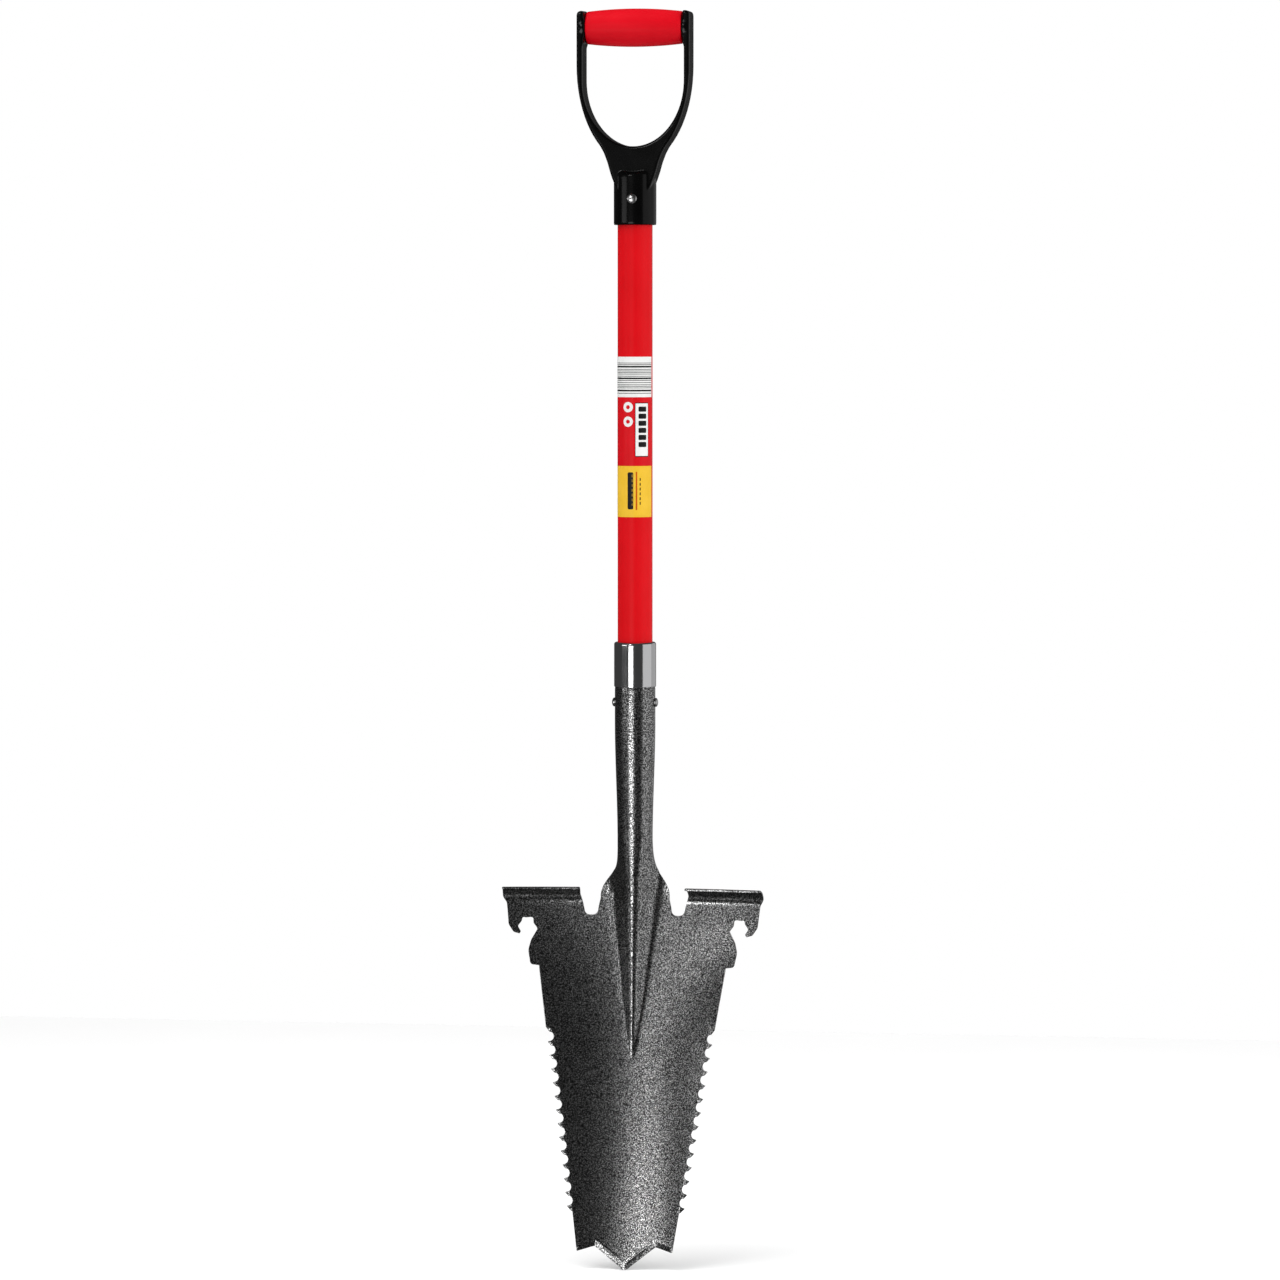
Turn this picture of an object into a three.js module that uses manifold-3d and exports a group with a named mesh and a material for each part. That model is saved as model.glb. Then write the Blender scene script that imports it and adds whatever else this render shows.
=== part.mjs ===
// Serrated garden spade with a D handle. Millimetres, +Z up along the shaft, hollow face of the blade towards -Y.
// The origin is under the middle of the whole spade, level with the point of the blade.
import * as THREE from "three";
import { mergeVertices } from "three/addons/utils/BufferGeometryUtils.js";
import Module from "manifold-3d";

const wasm = await Module();
wasm.setup();

// Overall heights above the point.
const HEIGHT = 1050;
const AXIS_Y = 19.7; // the shaft's axis stands behind the middle, because the blade leans forward
const TREAD_TOP = 316;
const SOCKET_NECK = 354; // narrowest part of the rolled socket
const SOCKET_FULL = 455; // full width of the socket from here up
const FERRULE_BOTTOM = 484;
const FERRULE_TOP = 521.5;
const SOCKET_TOP = 506; // hidden inside the ferrule
const SHAFT_BOTTOM = 442;
const YOKE_BOTTOM = 870;
const SHAFT_TOP = 911;

// Sheet of the blade and of the socket rolled from it.
const SHEET = 1.8;
const NECK_R = 14.75; // outer radii
const SOCKET_R = 17;
const SWAGED_R = 16.7; // where the ferrule covers it
const SEAM = 0.7; // half of the open seam at the back
const FACE_SLOPE = 0.115; // forward lean of the face below the treads
const FACE_CURVE = 0.000263;
const DISH_R = 187; // cross curvature of the blade
const FLATTER_FROM = 171; // the dish fades from here up to the treads
const FLATTER_OVER = 131;
const TOP_DISH = 0.35; // share of the dish left at the treads

// Ridge pressed down the middle of the blade, a continuation of the socket.
const RIDGE_END = 171;
const RIDGE_TOP = 300;
const RIDGE_WIDTHS = [[171, 3], [191, 6], [224, 13], [258, 18], [304, 26.5]]; // [height, half width]
const RIDGE_POWER = 1.5; // how wide the ridge's hollow flanks run out
const CREST_DEPTH = 14.2; // of the crest in front of the shaft's axis, at the top of the ridge
const CREST_SLOPE = 0.0388;

// Treads: the top edges of the blade turned forward.
const TREAD_IN = 43;
const TREAD_OUT = 111;
const TREAD_BEND = 13; // mid radius of the bend
const TREAD_FLAT = 4;
const BEND_START = TREAD_TOP - TREAD_BEND - SHEET / 2;
const NECK_WIDTH = 30; // half width of the strip that becomes the socket
const ROLL_FROM = 306; // the strip starts to curl here
const ROLL_OVER = 52;

// Teeth on each side.
const TEETH = 13;
const FIRST_TOOTH = [69.6, 186.9];
const LAST_TOOTH = [49.9, 52];
const GULLET = [2.4, 2.6]; // half width and half height

// Shaft, ferrule, handle.
const SHAFT_R = 14.6;
const SHAFT_BORE = 11.6;
const GAP = 0.3;
const SIDES = 36;
const YOKE_R = 17.8;
const YOKE_DEPTH = 26; // front to back, of the arms
const ARM_OUT = 47.6;
const ARM_IN = 42.7;
const ARM_TOP = HEIGHT - 2;
const ARM_CENTRE = 1002; // the outer curve of each arm is a quarter ellipse below this
const ARM_DROP = 81.6;
const HAND_BOTTOM = 935.3;
const HAND_CENTRE = 990; // the hand opening is a half ellipse below this
const SHOULDER_BOTTOM = 1021.5; // the arms thicken towards the grip above this
const GRIP_R = 15.9;
const GRIP_END_R = 13.5;
const GRIP_HALF = 40.3;
const GRIP_Z = HEIGHT - GRIP_R;
const BAR_R = 7;
const PIN_R = 3;
const HANDLE_RIVET_Z = 891.8;
const SOCKET_RIVET_Z = 470.8;

// Printed label round the shaft, in three coloured areas.
const LABEL_THICK = 0.15;
const LABEL_FROM = -130; // degrees from the front, towards +X
const LABEL_TO = 80;
const LABEL_LEVELS = [626.5, 669.3, 726.6, 760.4];

const smooth = (t) => {
  const u = Math.min(Math.max(t, 0), 1);
  return u * u * (3 - 2 * u);
};
const mix = (a, b, t) => a + (b - a) * t;

// ---- solids ----

function solid(geometry) {
  const bare = geometry.clone();
  for (const name of Object.keys(bare.attributes)) {
    if (name !== "position") bare.deleteAttribute(name);
  }
  const merged = mergeVertices(bare.index ? bare.toNonIndexed() : bare, 1e-4);
  return new wasm.Manifold(
    new wasm.Mesh({
      numProp: 3,
      vertProperties: new Float32Array(merged.attributes.position.array),
      triVerts: new Uint32Array(merged.index.array),
    }),
  );
}

function geometryOf(body) {
  const mesh = body.getMesh();
  const geometry = new THREE.BufferGeometry();
  geometry.setAttribute("position", new THREE.BufferAttribute(mesh.vertProperties, 3));
  geometry.setIndex(new THREE.BufferAttribute(mesh.triVerts, 1));
  const flat = geometry.toNonIndexed();
  flat.computeVertexNormals();
  return flat;
}

// A closed profile of [radius, z] pairs turned about Z.
function turned(profile, sides = SIDES) {
  const loop = [...profile, profile[0]].map(([r, z]) => new THREE.Vector2(r, z));
  return solid(new THREE.LatheGeometry(loop, sides).rotateX(Math.PI / 2));
}

// A solid of revolution moved so that its Z axis lies along X or Y.
const alongX = (body) => body.rotate([0, 90, 0]);
const alongY = (body) => body.rotate([90, 0, 0]);

function rod(radius, from, to, sides = 24) {
  return turned([[0, from], [radius, from], [radius, to], [0, to]], sides);
}

// An outline in the front view, pushed through from front to back.
function frontPrism(points, depth) {
  const shape = new THREE.Shape(points.map(([x, z]) => new THREE.Vector2(x, z)));
  const geometry = new THREE.ExtrudeGeometry(shape, { depth, bevelEnabled: false });
  return solid(geometry.rotateX(Math.PI / 2).translate(0, depth / 2, 0));
}

// The right half of a front outline, from its lowest point up, made whole by its mirror image.
function bothHalves(right) {
  const left = right.filter(([x]) => x > 0).map(([x, z]) => [-x, z]);
  return [...right, ...left.reverse()];
}

// ---- blade ----

const socketRadius = (z) => {
  if (z > FERRULE_BOTTOM - 1) return SWAGED_R - SHEET / 2;
  return mix(NECK_R, SOCKET_R, smooth((z - SOCKET_NECK) / (SOCKET_FULL - SOCKET_NECK))) - SHEET / 2;
};

function ridgeWidth(z) {
  const above = RIDGE_WIDTHS.findIndex(([height]) => height > z);
  if (above < 0) return RIDGE_WIDTHS[RIDGE_WIDTHS.length - 1][1];
  const [[low, narrow], [high, wide]] = [RIDGE_WIDTHS[above - 1], RIDGE_WIDTHS[above]];
  return mix(narrow, wide, (z - low) / (high - low));
}

// How far the middle of the sheet stands in front of the shaft's axis, for the open part of the blade.
function faceDepth(x, z) {
  const drop = Math.max(RIDGE_TOP - z, 0);
  const dished = mix(1, TOP_DISH, smooth((z - FLATTER_FROM) / FLATTER_OVER));
  const lean = FACE_SLOPE * (RIDGE_TOP - z) + FACE_CURVE * drop * drop;
  const face = lean + ((x * x) / (2 * DISH_R)) * dished;
  if (z <= RIDGE_END) return face;
  const rise = Math.max(CREST_DEPTH + CREST_SLOPE * drop - face, 0);
  const across = Math.min(Math.abs(x) / ridgeWidth(z), 1);
  return face + rise * Math.pow((1 + Math.cos(Math.PI * across)) / 2, RIDGE_POWER);
}

// Middle of the sheet for a point of the flat blank: p across, w along the shaft.
function sheetPoint(p, w) {
  const z = Math.min(w, BEND_START);
  if (Math.abs(p) > NECK_WIDTH + 1) {
    const quarter = (TREAD_BEND * Math.PI) / 2;
    const up = Math.max(w - BEND_START, 0);
    const turn = Math.min(up, quarter) / TREAD_BEND;
    const forward = TREAD_BEND * (1 - Math.cos(turn)) + Math.max(up - quarter, 0);
    return new THREE.Vector3(p, -faceDepth(p, z) - forward, z + TREAD_BEND * Math.sin(turn));
  }
  const roll = smooth((w - ROLL_FROM) / ROLL_OVER);
  const open = new THREE.Vector3(p, -faceDepth(p, w), w);
  if (roll === 0) return open;
  const r = socketRadius(w);
  const angle = (p / NECK_WIDTH) * (Math.PI - SEAM / r);
  const rolled = new THREE.Vector3(r * Math.sin(angle), -r * Math.cos(angle), w);
  return open.lerp(rolled, roll);
}

function sheetNormal(p, w) {
  const e = 0.02;
  const inner = Math.abs(p) <= NECK_WIDTH + 1;
  const low = inner ? Math.max(p - e, -NECK_WIDTH) : p - e;
  const high = inner ? Math.min(p + e, NECK_WIDTH) : p + e;
  const across = sheetPoint(high, w).sub(sheetPoint(low, w));
  const along = sheetPoint(p, w + e).sub(sheetPoint(p, w - e));
  if (w > SOCKET_FULL) along.set(0, 0, 1);
  return across.cross(along).normalize();
}

// The blank's columns and rows, closer together where the sheet bends.
function blankColumns() {
  const half = [];
  for (let p = 0; p <= NECK_WIDTH; p += 3) half.push(p);
  for (let i = 0; i <= 8; i++) half.push(mix(TREAD_IN - 0.5, TREAD_OUT + 1, i / 8));
  return [...half.slice(1).map((p) => -p).reverse(), ...half];
}

function blankRows() {
  const rows = [];
  for (let w = -4; w < BEND_START - 4; w += 10.2) rows.push(w);
  const quarter = (TREAD_BEND * Math.PI) / 2;
  for (let i = 0; i <= 6; i++) rows.push(BEND_START + (quarter * i) / 6);
  const treadEnd = BEND_START + quarter + TREAD_FLAT;
  rows.push(treadEnd);
  for (let i = 1; i <= 5; i++) rows.push(mix(treadEnd, SOCKET_NECK, i / 5));
  for (let i = 1; i <= 6; i++) rows.push(mix(SOCKET_NECK, SOCKET_FULL, i / 6));
  rows.push(FERRULE_BOTTOM - 1.8, FERRULE_BOTTOM - 0.4, SOCKET_TOP);
  return { rows, treadEnd };
}

// The whole sheet in its final form, before its outline is cut.
function formedSheet() {
  const columns = blankColumns();
  const { rows, treadEnd } = blankRows();
  const kept = (i, j) => {
    if (i < 0 || j < 0 || i >= columns.length - 1 || j >= rows.length - 1) return false;
    const p = Math.abs(columns[i] + columns[i + 1]) / 2;
    const w = (rows[j] + rows[j + 1]) / 2;
    if (w < BEND_START) return true;
    return p < NECK_WIDTH || (p > TREAD_IN - 0.5 && w < treadEnd);
  };
  const position = [];
  for (const side of [1, -1]) {
    for (const w of rows) {
      for (const p of columns) {
        const at = sheetPoint(p, w).addScaledVector(sheetNormal(p, w), (side * SHEET) / 2);
        position.push(at.x, at.y, at.z);
      }
    }
  }
  const across = columns.length;
  const layer = across * rows.length;
  const front = (i, j) => j * across + i;
  const index = [];
  const quad = (a, b, c, d) => index.push(a, b, c, a, c, d);
  for (let j = 0; j < rows.length - 1; j++) {
    for (let i = 0; i < across - 1; i++) {
      if (!kept(i, j)) continue;
      const [a, b, c, d] = [front(i, j), front(i + 1, j), front(i + 1, j + 1), front(i, j + 1)];
      quad(a, b, c, d);
      quad(layer + d, layer + c, layer + b, layer + a);
      if (!kept(i, j - 1)) quad(layer + a, layer + b, b, a);
      if (!kept(i + 1, j)) quad(layer + b, layer + c, c, b);
      if (!kept(i, j + 1)) quad(layer + c, layer + d, d, c);
      if (!kept(i - 1, j)) quad(layer + d, layer + a, a, d);
    }
  }
  const geometry = new THREE.BufferGeometry();
  geometry.setAttribute("position", new THREE.Float32BufferAttribute(position, 3));
  geometry.setIndex(index);
  return solid(geometry);
}

// One tooth and the gullet below it: a flank at 45 degrees, a short ledge, then a hollow out to the next tip.
function tooth(x, z) {
  const points = [[x, z], [x - 3, z - 3], [x - 3.5, z - 4.3]];
  for (const degrees of [150, 190, 230, 270]) {
    const a = THREE.MathUtils.degToRad(degrees);
    points.push([x - 2.9 + GULLET[0] * Math.cos(a), z - 7.4 + GULLET[1] * Math.sin(a)]);
  }
  return points;
}

// Right half of the blade's outline in the front view, from the point up to the socket.
function bladeOutline() {
  const outline = [[0, 0], [1.9, 0.6], [25.7, 19.5], [40.2, 15.3], [45.3, 47.8]];
  const step = 1 / (TEETH - 1);
  const row = [];
  for (let i = -1; i < TEETH; i++) {
    const x = mix(FIRST_TOOTH[0], LAST_TOOTH[0], i * step);
    const z = mix(FIRST_TOOTH[1], LAST_TOOTH[1], i * step);
    row.push(...(i < TEETH - 1 ? tooth(x, z) : [[x, z], [x - 3, z - 3]]));
  }
  outline.push(...row.reverse());
  const shoulder = [[78.8, 247.5], [86.1, 251.7], [88.2, 262.5], [87.1, 269.2], [81.8, 279.6]];
  const hook = [[83.4, 283.8], [85.3, 288.6], [93.7, 288.6], [96.8, 281], [95.5, 277.1]];
  const outer = [[100.2, 277.9], [104.6, 282.1], [106.3, 288.8], [107, 296.4], [108, 301.4]];
  const over = TREAD_TOP + 12;
  const end = [[110.4, 305.5], [TREAD_OUT, 309.5], [TREAD_OUT, TREAD_TOP - 1.2], [110, TREAD_TOP + 0.5]];
  const tread = [...end, [109.8, over], [44, over]];
  const slot = [[45.6, 310], [43.7, 300.6], [41.6, 296], [38.9, 292.6], [37, 291.8], [34.6, 292.8]];
  const neck = [[31.6, 295.9], [29.9, 300], [29.3, 306], [31, 315], [31, SOCKET_TOP + 5]];
  return [...outline, ...shoulder, ...hook, ...outer, ...tread, ...slot, ...neck];
}

function blade() {
  const cut = formedSheet().intersect(frontPrism(bothHalves(bladeOutline()), 300));
  return cut.subtract(alongX(rod(PIN_R + GAP, -30, 30, 16)).translate([0, 0, SOCKET_RIVET_Z]));
}

// ---- shaft, ferrule, rivets ----

function ferrule() {
  const inner = SWAGED_R + 0.25;
  const lip = SHAFT_R + GAP;
  return turned([
    [inner, FERRULE_BOTTOM], [17.6, FERRULE_BOTTOM], [17.45, FERRULE_TOP - 3.2], [17, FERRULE_TOP - 1.4],
    [16, FERRULE_TOP - 0.3], [lip + 0.6, FERRULE_TOP], [lip, FERRULE_TOP - 0.5], [lip, FERRULE_TOP - 2],
    [inner - 1, FERRULE_TOP - 3], [inner, FERRULE_TOP - 5],
  ]);
}

const pinHoleX = () => alongX(rod(PIN_R + GAP, -40, 40, 16)).translate([0, 0, SOCKET_RIVET_Z]);
const pinHoleY = () => alongY(rod(PIN_R + GAP, -40, 40, 16)).translate([0, 0, HANDLE_RIVET_Z]);

function shaft() {
  const tube = turned([
    [SHAFT_BORE, SHAFT_BOTTOM], [SHAFT_R, SHAFT_BOTTOM], [SHAFT_R, SHAFT_TOP], [SHAFT_BORE, SHAFT_TOP],
  ]);
  return tube.subtract(pinHoleX()).subtract(pinHoleY());
}

const core = (from, to, hole) => rod(SHAFT_BORE - GAP, from, to, SIDES).subtract(hole);

// A domed head at each end of a pin, centred on the origin and lying along Z.
function rivet(halfGrip, headR, headHeight) {
  const dome = [[headR, 0], [0.97 * headR, 0.3], [0.8 * headR, 0.65], [0.5 * headR, 0.9], [0, 1]];
  const top = dome.map(([r, k]) => [r, halfGrip + k * headHeight]);
  const bottom = dome.map(([r, k]) => [r, -halfGrip - k * headHeight]).reverse();
  const shank = [[headR, -halfGrip], [PIN_R, -halfGrip], [PIN_R, halfGrip]];
  const profile = [...bottom, ...shank.slice(1), ...top].map(([r, z]) => new THREE.Vector2(r, z));
  return solid(new THREE.LatheGeometry(profile, 20).rotateX(Math.PI / 2));
}

// ---- D handle ----

// Right half of the D in the front view: web and arm outside, then back down the hand opening.
function yokeOutline() {
  const web = [[8, 890], [12.5, 897], [15.6, 903.5], [17.9, 909.5], [19.5, 914.5], [21.6, 922], [24.6, 930]];
  const points = [[0, 889], ...web];
  for (let degrees = -54; degrees <= 0; degrees += 9) {
    const a = THREE.MathUtils.degToRad(degrees);
    points.push([ARM_OUT * Math.cos(a), ARM_CENTRE + ARM_DROP * Math.sin(a)]);
  }
  points.push([ARM_OUT, ARM_TOP - 4], [ARM_OUT - 1.2, ARM_TOP - 1.2], [ARM_OUT - 3, ARM_TOP]);
  points.push([ARM_IN - 1.2, ARM_TOP], [ARM_IN - 1.2, SHOULDER_BOTTOM], [ARM_IN, SHOULDER_BOTTOM - 3.5]);
  for (let degrees = 0; degrees <= 90; degrees += 10) {
    const a = THREE.MathUtils.degToRad(degrees);
    const x = degrees === 90 ? 0 : ARM_IN * Math.cos(a);
    points.push([x, HAND_CENTRE - (HAND_CENTRE - HAND_BOTTOM) * Math.sin(a)]);
  }
  return points;
}

function yoke() {
  const right = yokeOutline();
  const left = right.slice(1, -1).map(([x, z]) => [-x, z]).reverse();
  const arms = frontPrism([...right, ...left], YOKE_DEPTH);
  const tube = turned([
    [0, YOKE_BOTTOM], [YOKE_R - 0.8, YOKE_BOTTOM], [YOKE_R, YOKE_BOTTOM + 0.8], [YOKE_R, 908], [16.6, 918],
    [13.5, 926], [8, 931.5], [0, 933],
  ]);
  const bar = alongX(rod(BAR_R, -ARM_IN - 2, ARM_IN + 2)).translate([0, 0, GRIP_Z]);
  const shoulder = (side) => {
    const from = side > 0 ? GRIP_HALF + GAP : -ARM_IN - 2;
    const to = side > 0 ? ARM_IN + 2 : -GRIP_HALF - GAP;
    return alongX(rod(GRIP_END_R - 0.5, from, to)).translate([0, 0, GRIP_Z]);
  };
  const bore = turned([[0, YOKE_BOTTOM - 5], [SHAFT_R + GAP, YOKE_BOTTOM - 5], [SHAFT_R + GAP, SHAFT_TOP + 0.5],
    [0, SHAFT_TOP + 0.5]]);
  return arms.add(tube).add(bar).add(shoulder(1)).add(shoulder(-1)).subtract(bore).subtract(pinHoleY());
}

function grip() {
  const profile = [[BAR_R + GAP, -GRIP_HALF]];
  for (let i = 0; i <= 8; i++) {
    const x = mix(-GRIP_HALF, GRIP_HALF, i / 8);
    profile.push([mix(GRIP_R, GRIP_END_R, (x / GRIP_HALF) ** 2), x]);
  }
  profile.push([BAR_R + GAP, GRIP_HALF]);
  return alongX(turned(profile, 24)).translate([0, 0, GRIP_Z]);
}

// ---- label ----

// Part of a thin sleeve whose facets lie on the shaft's.
function label(from, to) {
  const ring = (r) => {
    const arc = [];
    for (let degrees = LABEL_FROM; degrees <= LABEL_TO; degrees += 360 / SIDES) {
      const a = THREE.MathUtils.degToRad(degrees);
      arc.push(new THREE.Vector2(r * Math.sin(a), -r * Math.cos(a)));
    }
    return arc;
  };
  const inner = SHAFT_R + 0.05;
  const shape = new THREE.Shape([...ring(inner), ...ring(inner + LABEL_THICK).reverse()]);
  const geometry = new THREE.ExtrudeGeometry(shape, { depth: to - from - 0.1, bevelEnabled: false });
  return solid(geometry.translate(0, 0, from));
}

// ---- assembly ----

const FINISH = {
  hammered: { color: 0x3b3c3e, roughness: 0.4, metalness: 0.6 },
  bright: { color: 0xc9cacc, roughness: 0.18, metalness: 1 },
  red: { color: 0xd4060f, roughness: 0.3, metalness: 0 },
  black: { color: 0x0b0b0c, roughness: 0.25, metalness: 0 },
  white: { color: 0xf0f0ee, roughness: 0.45, metalness: 0 },
  yellow: { color: 0xf5c640, roughness: 0.45, metalness: 0 },
  wood: { color: 0xb98a55, roughness: 0.7, metalness: 0 },
};

const group = new THREE.Group();

function place(name, body, finish) {
  const mesh = new THREE.Mesh(geometryOf(body), new THREE.MeshStandardMaterial(FINISH[finish]));
  mesh.name = name;
  mesh.position.y = AXIS_Y;
  group.add(mesh);
}

place("blade", blade(), "hammered");
place("ferrule", ferrule(), "bright");
place("socket_rivet", alongX(rivet(SOCKET_R + GAP, 3.75, 2.2)).translate([0, 0, SOCKET_RIVET_Z]), "bright");
place("shaft", shaft(), "red");
place("lower_core", core(SHAFT_BOTTOM, SHAFT_BOTTOM + 60, pinHoleX()), "wood");
place("upper_core", core(SHAFT_TOP - 60, SHAFT_TOP, pinHoleY()), "wood");
place("handle_yoke", yoke(), "black");
place("grip_sleeve", grip(), "red");
place("handle_rivet", alongY(rivet(YOKE_R + GAP, 4.25, 1.8)).translate([0, 0, HANDLE_RIVET_Z]), "bright");
["yellow", "red", "white"].forEach((finish, i) => {
  const names = ["label_lower", "label_middle", "label_upper"];
  place(names[i], label(LABEL_LEVELS[i], LABEL_LEVELS[i + 1]), finish);
});

export default group;
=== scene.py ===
import math

import bmesh
import bpy
import numpy as np
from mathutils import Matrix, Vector
from mathutils.geometry import delaunay_2d_cdt


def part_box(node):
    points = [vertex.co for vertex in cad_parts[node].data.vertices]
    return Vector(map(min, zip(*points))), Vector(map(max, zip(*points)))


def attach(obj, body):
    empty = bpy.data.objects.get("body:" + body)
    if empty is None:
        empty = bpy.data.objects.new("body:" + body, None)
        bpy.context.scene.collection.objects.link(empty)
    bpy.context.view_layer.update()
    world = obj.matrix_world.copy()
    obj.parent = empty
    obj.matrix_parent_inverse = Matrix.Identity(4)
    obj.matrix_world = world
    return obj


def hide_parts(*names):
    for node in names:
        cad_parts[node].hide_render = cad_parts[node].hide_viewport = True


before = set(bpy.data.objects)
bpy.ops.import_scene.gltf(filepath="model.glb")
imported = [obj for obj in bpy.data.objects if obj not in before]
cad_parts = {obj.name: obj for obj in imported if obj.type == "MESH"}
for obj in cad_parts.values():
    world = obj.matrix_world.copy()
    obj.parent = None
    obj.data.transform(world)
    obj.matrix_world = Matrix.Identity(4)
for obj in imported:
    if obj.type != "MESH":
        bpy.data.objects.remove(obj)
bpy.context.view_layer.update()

# Lengths are in millimetres until a mesh is made. X and Z are the frame's. Depths are measured forward,
# towards -Y, from the shaft's axis.
MM = 0.001


def box_mm(node):
    low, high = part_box(node)
    return [c / MM for c in low], [c / MM for c in high]


SHAFT_LOW, SHAFT_HIGH = box_mm("shaft")
BLADE_HIGH = box_mm("blade")[1]
YOKE_LOW, YOKE_HIGH = box_mm("handle_yoke")
GRIP_LOW, GRIP_HIGH = box_mm("grip_sleeve")
FERRULE_LOW, FERRULE_HIGH = box_mm("ferrule")
LABEL_LOW = box_mm("label_lower")
LABEL_MID = box_mm("label_middle")
LABEL_TOP = box_mm("label_upper")
PIN_LOW, PIN_HIGH = box_mm("handle_rivet")
SOCKET_PIN_LOW, SOCKET_PIN_HIGH = box_mm("socket_rivet")

AXIS_Y = (SHAFT_LOW[1] + SHAFT_HIGH[1]) / 2
SHAFT_R = (SHAFT_HIGH[0] - SHAFT_LOW[0]) / 2
SHAFT_BORE = 11.6

# The blade's sheet, in the numbers of the CAD part.
SHEET = 1.8
NECK_R, SOCKET_R, SWAGED_R = 14.75, 17.0, 16.7
SOCKET_NECK, SOCKET_FULL = 354.0, 455.0
SEAM = 0.7
FACE_SLOPE, FACE_CURVE, DISH_R = 0.115, 0.000263, 187.0
RIDGE_END, RIDGE_TOP = 171.0, 300.0
CREST_DEPTH, CREST_SLOPE = 14.2, 0.0388
RIDGE_HEIGHTS, RIDGE_WIDTHS = (171, 191, 224, 258, 304), (3, 6, 13, 18, 26.5)
RIDGE_POWER = 1.5
FLATTER_FROM, FLATTER_OVER, TOP_DISH = 171.0, 131.0, 0.35
TREAD_TOP, TREAD_BEND, TREAD_FLAT = 316.0, 13.0, 4.0
TREAD_OUT = BLADE_HIGH[0]
BEND_START = TREAD_TOP - TREAD_BEND - SHEET / 2
QUARTER = TREAD_BEND * math.pi / 2
NECK_WIDTH = 30.0
SLOT_MIDDLE = 36.5
TEETH = 13
FIRST_TOOTH, LAST_TOOTH = (69.6, 186.9), (49.9, 52.0)
ROLL_FROM, ROLL_OVER = 306.0, 52.0  # where the flat neck starts to roll into the socket, and over what height
GROUND = 4.2  # width of the sharpened band
GROUND_DEPTH = 1.15
BOTTOM_GROUND_TO = 60.0  # the bottom edge's bevel stays below this height
SIDE_GROUND_FROM, SIDE_GROUND_TO = LAST_TOOTH[1] - 6, FIRST_TOOTH[1] + 12
CHAMFER = 0.25  # broken edge of the sheet
EDGE_SPACING = 2.5  # longest mesh edge along the blade's outline
FACE_ROWS, FACE_COLUMNS = 1.8, 2.0  # mesh spacing on the blade, in Z and X
SOCKET_ROWS, SOCKET_COLUMNS = 3.0, 1.25  # the same on the neck and socket, across the flat blank
FACE_TO = 322.0
ROUNDING_STEP = 14  # degrees between the points of a rounded corner
CLEAR_OF_BORDER, CLEAR_OF_GUIDE = 0.45, 0.5  # mesh points keep this far from the edges already laid
FILM_SHOULDER = 0.98  # where an edge with no chamfer turns, as a share of half the thickness


# ---- small tools ----

def smooth(t):
    u = np.clip(t, 0, 1)
    return u * u * (3 - 2 * u)


def mix(a, b, t):
    return a + (b - a) * t


def rounded(corners):
    """A closed outline from (x, z, radius) corners: each corner becomes an arc of that radius."""
    out = []
    n = len(corners)
    for i, (x, z, r) in enumerate(corners):
        here = np.array((x, z), float)
        before = np.array(corners[i - 1][:2], float) - here
        after = np.array(corners[(i + 1) % n][:2], float) - here
        la, lb = np.linalg.norm(before), np.linalg.norm(after)
        before, after = before / la, after / lb
        half = math.acos(max(-1.0, min(1.0, float(before @ after)))) / 2
        if r <= 0 or half > math.radians(88):
            out.append(tuple(here))
            continue
        reach = min(r / math.tan(half), 0.48 * la, 0.48 * lb)
        r = reach * math.tan(half)
        centre = here + (before + after) / np.linalg.norm(before + after) * r / math.sin(half)
        a = here + before * reach - centre
        turn = math.pi - 2 * half
        if before[0] * after[1] - before[1] * after[0] > 0:
            turn = -turn
        count = max(2, round(math.degrees(abs(turn)) / ROUNDING_STEP))
        for k in range(count + 1):
            c, s = math.cos(turn * k / count), math.sin(turn * k / count)
            out.append((centre[0] + a[0] * c - a[1] * s, centre[1] + a[0] * s + a[1] * c))
    return np.array(out)


def split(path, longest):
    """The closed path with its long edges divided."""
    out = []
    for a, b in zip(path, np.roll(path, -1, 0)):
        count = max(1, math.ceil(np.linalg.norm(b - a) / longest))
        out += [mix(a, b, k / count) for k in range(count)]
    return np.array(out)


def outward(path):
    """The mitred outward direction at each point of a closed anticlockwise path: its edges then move by 1."""
    edge = np.roll(path, -1, 0) - path
    edge /= np.maximum(np.linalg.norm(edge, axis=1, keepdims=True), 1e-9)
    normal = np.stack((edge[:, 1], -edge[:, 0]), 1)
    last = np.roll(normal, 1, 0)
    both = normal + last
    share = np.maximum(1 + (normal * last).sum(1, keepdims=True), 0.5)
    return both / share


def inside(points, path):
    x, y = points[:, 0], points[:, 1]
    hit = np.zeros(len(points), bool)
    for (x0, y0), (x1, y1) in zip(path, np.roll(path, -1, 0)):
        if y0 == y1:
            continue
        crosses = (y0 > y) != (y1 > y)
        hit ^= crosses & (x < (x1 - x0) * (y - y0) / (y1 - y0) + x0)
    return hit


def distance(points, path, closed=False):
    ends = np.roll(path, -1, 0) if closed else path[1:]
    starts = path if closed else path[:-1]
    best = np.full(len(points), 1e9)
    for a, b in zip(starts, ends):
        ab = b - a
        t = np.clip(((points - a) @ ab) / max(ab @ ab, 1e-9), 0, 1)
        best = np.minimum(best, np.linalg.norm(points - a - t[:, None] * ab, axis=1))
    return best


def new_object(name, vertices, faces, sharp=35):
    mesh = bpy.data.meshes.new(name)
    mesh.from_pydata((np.asarray(vertices) * MM).tolist(), [], faces)
    mesh.validate()
    mesh.shade_smooth()
    mesh.set_sharp_from_angle(angle=math.radians(sharp))
    obj = bpy.data.objects.new(name, mesh)
    bpy.context.scene.collection.objects.link(obj)
    return obj


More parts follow.
